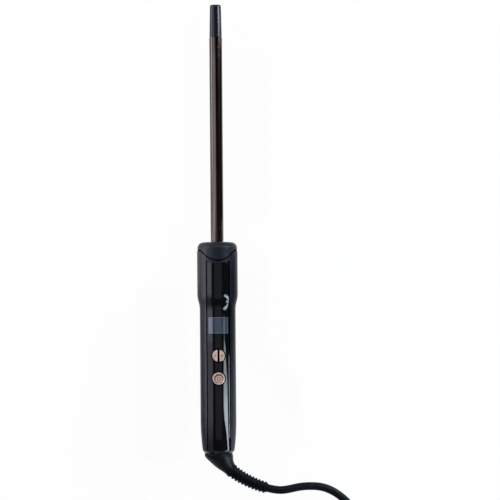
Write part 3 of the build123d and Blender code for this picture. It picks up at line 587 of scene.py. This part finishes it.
def block(name, centre, size):
    deselect()
    bpy.ops.mesh.primitive_cube_add(size=1.0, location=centre, scale=size)
    piece = bpy.context.object
    piece.name = name
    piece.data.name = name
    bpy.ops.object.transform_apply(location=True, rotation=True, scale=True)
    return piece


def apply_modifier(piece, kind, **values):
    modifier = piece.modifiers.new(kind.lower(), kind)
    for name, value in values.items():
        setattr(modifier, name, value)
    bpy.ops.object.modifier_apply(modifier=modifier.name)


# A strap round the coil: a bent band with its free end laid over the top
def storage_strap(material):
    low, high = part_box("cord_tie")
    middle = (low + high) / 2
    strap = block("cord_strap", middle, high - low)
    select_faces(strap.data, lambda face: abs(face.normal.y) > 0.9)
    edit("FACE")
    bpy.ops.mesh.delete(type="ONLY_FACE")
    bpy.ops.object.mode_set(mode="OBJECT")
    round_edges(strap, lambda edge: abs(edge.y) > STRAP_THICKNESS, STRAP_CORNER, segments=7)
    apply_modifier(strap, "SOLIDIFY", thickness=STRAP_THICKNESS, offset=-1.0)
    apply_modifier(strap, "BEVEL", width=STRAP_EDGE, segments=2, limit_method="ANGLE")
    end_size = Vector((STRAP_END_LENGTH, high.y - low.y - STRAP_END_INSET, STRAP_THICKNESS))
    end_centre = Vector((middle.x - STRAP_END_SHIFT, middle.y, high.z + STRAP_THICKNESS / 2))
    free_end = block("strap_end", end_centre, end_size)
    round_edges(free_end, lambda edge: abs(edge.z) > STRAP_THICKNESS / 2, STRAP_END_CORNER, segments=6)
    apply_modifier(free_end, "BEVEL", width=STRAP_EDGE, segments=2, limit_method="ANGLE")
    deselect()
    free_end.select_set(True)
    strap.select_set(True)
    bpy.context.view_layer.objects.active = strap
    bpy.ops.object.join()
    bpy.ops.object.shade_smooth_by_angle(angle=math.radians(40))
    strap.data.materials.clear()
    strap.data.materials.append(material)
    return strap


# Studio

def photo_camera():
    tilt = math.radians(CAMERA_SIDE_TILT)
    roll = math.radians(CAMERA_ROLL)
    back = Vector((-math.sin(tilt), 0, math.cos(tilt)))
    level = Vector((math.cos(tilt), 0, math.sin(tilt)))
    along = Vector((0, 1, 0))
    right = level * math.cos(roll) - along * math.sin(roll)
    up = level * math.sin(roll) + along * math.cos(roll)
    data = bpy.data.cameras.new("photo_camera")
    data.sensor_width = SENSOR_WIDTH
    data.lens = SENSOR_WIDTH * CAMERA_DISTANCE / VIEW_WIDTH
    data.clip_end = CAMERA_REACH
    camera = bpy.data.objects.new("photo_camera", data)
    bpy.context.scene.collection.objects.link(camera)
    place = VIEW_CENTRE + back * CAMERA_DISTANCE
    camera.matrix_world = Matrix.Translation(place) @ Matrix((right, up, back)).transposed().to_4x4()
    bpy.context.scene.camera = camera


def area_lamp(name, size, radiance, tint):
    data = bpy.data.lights.new(name, "AREA")
    data.shape = "RECTANGLE"
    data.size, data.size_y = size
    data.energy = radiance * math.pi * size[0] * size[1]
    data.color = tint
    return data


# A softbox beside the wand, between two angles from straight up and two places along the wand
def softbox(name, angles, along, radiance, tint):
    turn = math.radians(angles[0] + angles[1]) / 2
    half_width = math.radians(angles[1] - angles[0]) / 2
    size = (2 * LAMP_DISTANCE * math.tan(half_width), along[1] - along[0])
    facing = Vector((math.sin(turn), 0.0, math.cos(turn)))
    middle = Vector((0.0, (along[0] + along[1]) / 2, AXIS_HEIGHT))
    hang(area_lamp(name, size, radiance, tint), middle + facing * LAMP_DISTANCE, facing)


# A softbox past one end of the wand, turned to its middle
def end_box(name, place, radiance):
    hang(area_lamp(name, END_BOX_SIZE, radiance, WHITE), Vector(place), Vector(place).normalized())


def hang(data, place, facing):
    lamp = bpy.data.objects.new(data.name, data)
    bpy.context.scene.collection.objects.link(lamp)
    across = Vector((0, 1, 0)).cross(facing).normalized()
    turned = Matrix((across, facing.cross(across), facing)).transposed().to_4x4()
    lamp.matrix_world = Matrix.Translation(place) @ turned
    lamp.visible_camera = False


# A glowing card bent round the wand, out of the camera's sight
def light_card(name, rows, glow, tint, distance=LAMP_DISTANCE):
    corners = []
    for along, *angles in rows:
        for angle in angles:
            turn = math.radians(angle)
            rise = AXIS_HEIGHT + distance * math.cos(turn)
            corners.append((distance * math.sin(turn), along, rise))
    material = bpy.data.materials.new(name)
    material.use_nodes = True
    tree = material.node_tree
    place = tree.nodes.new("ShaderNodeTexCoord")
    axes = tree.nodes.new("ShaderNodeSeparateXYZ")
    level = tree.nodes.new("ShaderNodeMapRange")
    for end, values in zip(("Min", "Max"), glow):
        for side, value in zip(("From", "To"), values):
            level.inputs[f"{side} {end}"].default_value = value
    light = tree.nodes.new("ShaderNodeEmission")
    light.inputs["Color"].default_value = (*tint, 1.0)
    tree.links.new(place.outputs["Object"], axes.inputs["Vector"])
    tree.links.new(axes.outputs["Y"], level.inputs["Value"])
    tree.links.new(level.outputs["Result"], light.inputs["Strength"])
    tree.links.new(light.outputs["Emission"], tree.nodes["Material Output"].inputs["Surface"])
    unseen_strip(name, corners, material)


def unseen_strip(name, corners, material):
    first = range(0, len(corners) - 2, 2)
    mesh = bpy.data.meshes.new(name)
    mesh.from_pydata(corners, [], [(i, i + 1, i + 3, i + 2) for i in first])
    mesh.materials.append(material)
    strip = bpy.data.objects.new(name, mesh)
    bpy.context.scene.collection.objects.link(strip)
    strip.visible_camera = False


def matte_card(name, shade, corners):
    material = bpy.data.materials.new(name)
    material.use_nodes = True
    shader = material.node_tree.nodes["Principled BSDF"]
    shader.inputs["Base Color"].default_value = (shade, shade, shade, 1.0)
    shader.inputs["Roughness"].default_value = 1.0
    unseen_strip(name, corners, material)


def black_flag(name, rows):
    corners = [(across, along, height) for across, along, top in rows for height in (FLAG_FOOT, top)]
    matte_card(name, FLAG_SHADE, corners)


def pale_mat(name, rows):
    corners = [(edge, along, MAT_HEIGHT) for along, *edges in rows for edge in edges]
    matte_card(name, MAT_SHADE, corners)


# White to the camera and in reflections, matte to the rest of the light
def studio_floor():
    deselect()
    bpy.ops.mesh.primitive_plane_add(size=FLOOR_SIZE, location=(0.0, 0.0, -FLOOR_GAP))
    floor = bpy.context.object
    floor.name = "studio_floor"
    material = bpy.data.materials.new("studio_floor")
    material.use_nodes = True
    tree = material.node_tree
    tree.nodes.clear()
    output = tree.nodes.new("ShaderNodeOutputMaterial")
    matte = tree.nodes.new("ShaderNodeBsdfDiffuse")
    matte.inputs["Color"].default_value = (FLOOR_SHADE, FLOOR_SHADE, FLOOR_SHADE, 1.0)
    white = tree.nodes.new("ShaderNodeEmission")
    white.inputs["Strength"].default_value = 1.0
    rays = tree.nodes.new("ShaderNodeLightPath").outputs
    mirrored = math_node(tree, "MAXIMUM", rays["Is Glossy Ray"], rays["Is Transmission Ray"])
    seen = math_node(tree, "MAXIMUM", rays["Is Camera Ray"], mirrored)
    share = math_node(tree, "MULTIPLY", seen, FLOOR_WHITE)
    mix = tree.nodes.new("ShaderNodeMixShader")
    tree.links.new(share, mix.inputs["Fac"])
    tree.links.new(matte.outputs["BSDF"], mix.inputs[1])
    tree.links.new(white.outputs["Emission"], mix.inputs[2])
    tree.links.new(mix.outputs["Shader"], output.inputs["Surface"])
    floor.data.materials.append(material)


# Pale walls that darken upwards, sooner on the right, under a dark ceiling
def studio_walls():
    world = bpy.data.worlds.new("studio_walls")
    bpy.context.scene.world = world
    world.use_nodes = True
    tree = world.node_tree
    background = tree.nodes["Background"]
    place = tree.nodes.new("ShaderNodeTexCoord")
    height = tree.nodes.new("ShaderNodeVectorMath")
    height.operation = "DOT_PRODUCT"
    height.inputs[1].default_value = WALL_LEAN
    tree.links.new(place.outputs["Generated"], height.inputs[0])
    ramp = tree.nodes.new("ShaderNodeValToRGB")
    ramp.color_ramp.elements[0].position = 0.0
    ramp.color_ramp.elements[0].color = (*WHITE, 1.0)
    ramp.color_ramp.elements[1].position = WALL_TOP
    ramp.color_ramp.elements[1].color = (*CEILING_SHADE, 1.0)
    tree.links.new(height.outputs["Value"], ramp.inputs["Fac"])
    tree.links.new(ramp.outputs["Color"], background.inputs["Color"])
    background.inputs["Strength"].default_value = 1.0


def studio_lamps():
    light_card("left_card", LEFT_CARD, LEFT_GLOW, DUSK, LEFT_CARD_DISTANCE)
    for name, values in SOFTBOXES.items():
        softbox(name, *values)
    light_card("upper_card", UPPER_CARD, UPPER_GLOW, COOL)
    light_card("lower_card", LOWER_CARD, LOWER_GLOW, COOL)
    light_card("edge_card", EDGE_CARD, EDGE_GLOW, COOL)
    for name, rows in FLAGS.items():
        black_flag(name, rows)
    pale_mat("left_mat", LEFT_MAT)
    for name, values in END_BOXES.items():
        end_box(name, *values)


finishes = make_finishes()
dress_nodes(finishes)
cord = power_cord(finishes["cord_jacket"])
strap = storage_strap(finishes["tie_plastic"])

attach(cord, "cord_set")
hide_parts("cord_run", "cord_coil", "cord_tail")
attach(strap, "cord_set")
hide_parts("cord_tie")

photo_camera()
studio_floor()
studio_walls()
studio_lamps()
bpy.context.scene.view_settings.view_transform = "Standard"
